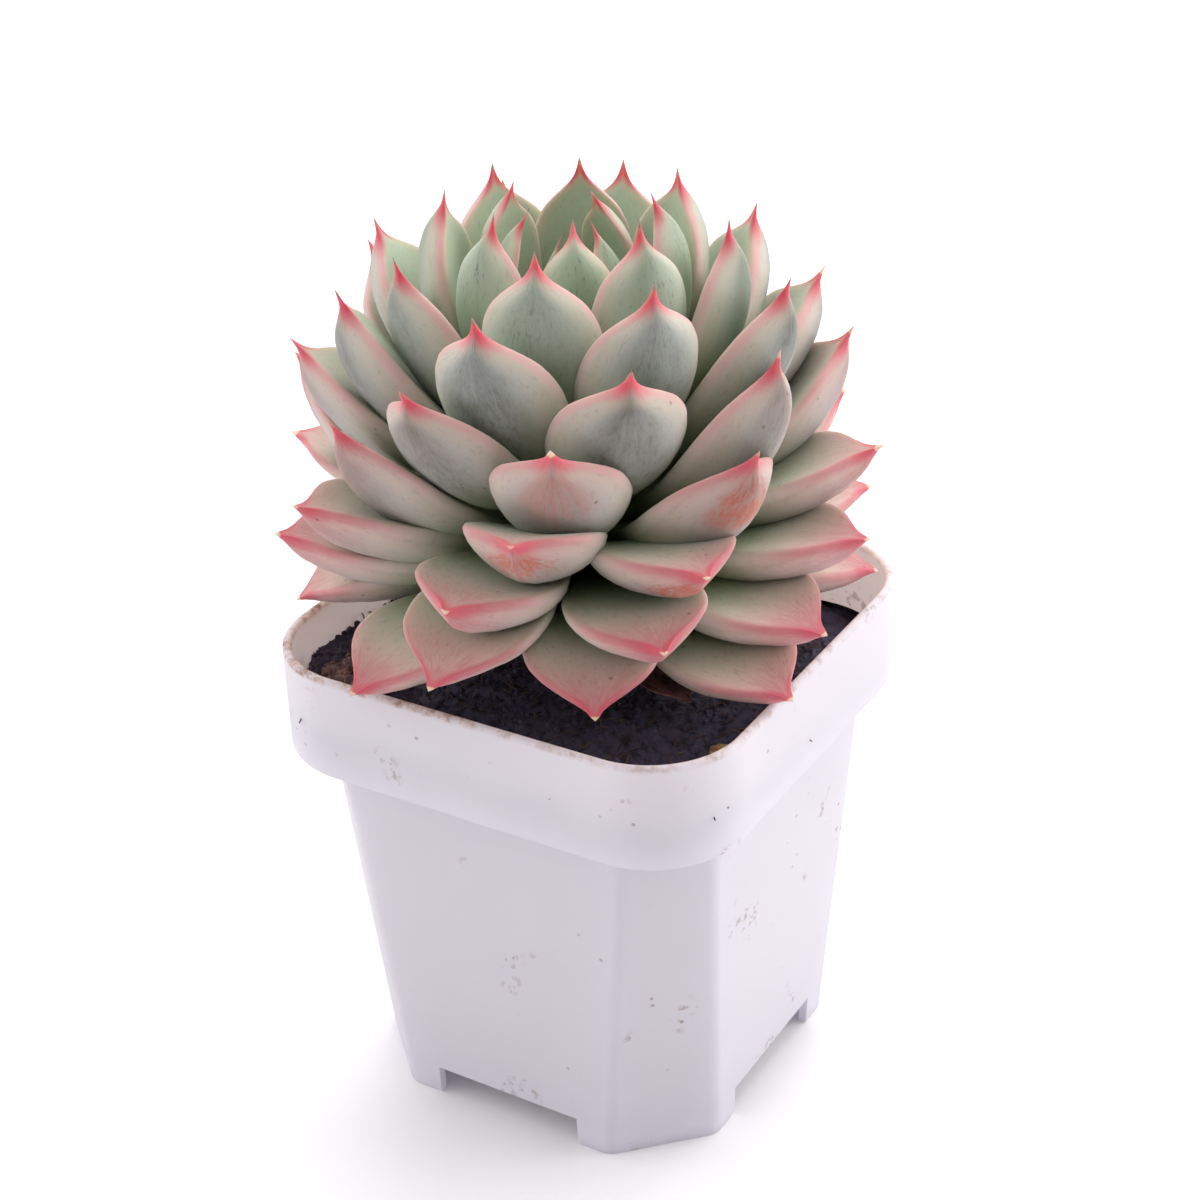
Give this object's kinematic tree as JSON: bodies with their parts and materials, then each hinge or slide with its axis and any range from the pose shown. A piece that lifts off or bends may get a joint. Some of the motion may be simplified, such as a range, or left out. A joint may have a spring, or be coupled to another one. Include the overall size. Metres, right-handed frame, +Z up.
{
  "type": "potted rosette succulent",
  "caption": "Dense rosette of thick pointed grey-green leaves with red tips, growing in dark soil in a square white plastic nursery pot with a broad collar and notched feet.",
  "frame": {"origin": "under the middle of the whole object's bounding box, at the height of the pot's feet, so about 2 mm from the pot's own middle line", "axes": "+Z up, from the pot's feet to the tips of the rosette; X and Y are square to the flat sides of the pot"},
  "size_m": [0.0916, 0.0914, 0.1435],
  "materials": {
    "pot": "satin",
    "soil": "matte",
    "stem": "matte",
    "leaf": "satin",
    "withered": "matte",
    "bark": "matte"
  },
  "bodies": {
    "root": {"pot": "pot", "soil": "soil", "bark_chip": "bark", "heart": "leaf", "leaf_01": "leaf", "leaf_02": "leaf", "leaf_03": "leaf", "leaf_04": "leaf", "leaf_05": "leaf", "leaf_06": "leaf", "leaf_07": "leaf", "leaf_08": "leaf", "leaf_09": "leaf", "leaf_10": "leaf", "leaf_11": "leaf", "leaf_12": "leaf", "leaf_13": "leaf", "leaf_14": "leaf", "leaf_15": "leaf", "leaf_16": "leaf", "leaf_17": "leaf", "leaf_18": "leaf", "leaf_19": "leaf", "leaf_20": "leaf", "leaf_21": "leaf", "leaf_22": "leaf", "leaf_23": "leaf", "leaf_24": "leaf", "leaf_25": "leaf", "leaf_26": "leaf", "leaf_27": "leaf", "leaf_28": "leaf", "leaf_29": "leaf", "leaf_30": "leaf", "leaf_31": "leaf", "leaf_32": "leaf", "leaf_33": "leaf", "leaf_34": "leaf", "leaf_35": "leaf", "leaf_36": "leaf", "leaf_37": "leaf", "leaf_38": "leaf", "leaf_39": "leaf", "leaf_40": "leaf", "leaf_41": "leaf", "leaf_42": "leaf", "leaf_43": "leaf", "leaf_44": "leaf", "leaf_45": "leaf", "leaf_46": "leaf", "leaf_47": "leaf", "leaf_48": "leaf", "leaf_49": "leaf", "leaf_50": "leaf", "leaf_51": "leaf", "leaf_52": "leaf", "leaf_53": "leaf", "leaf_54": "leaf", "withered_leaf": "withered", "stem": "stem"}
  },
  "joints": []
}
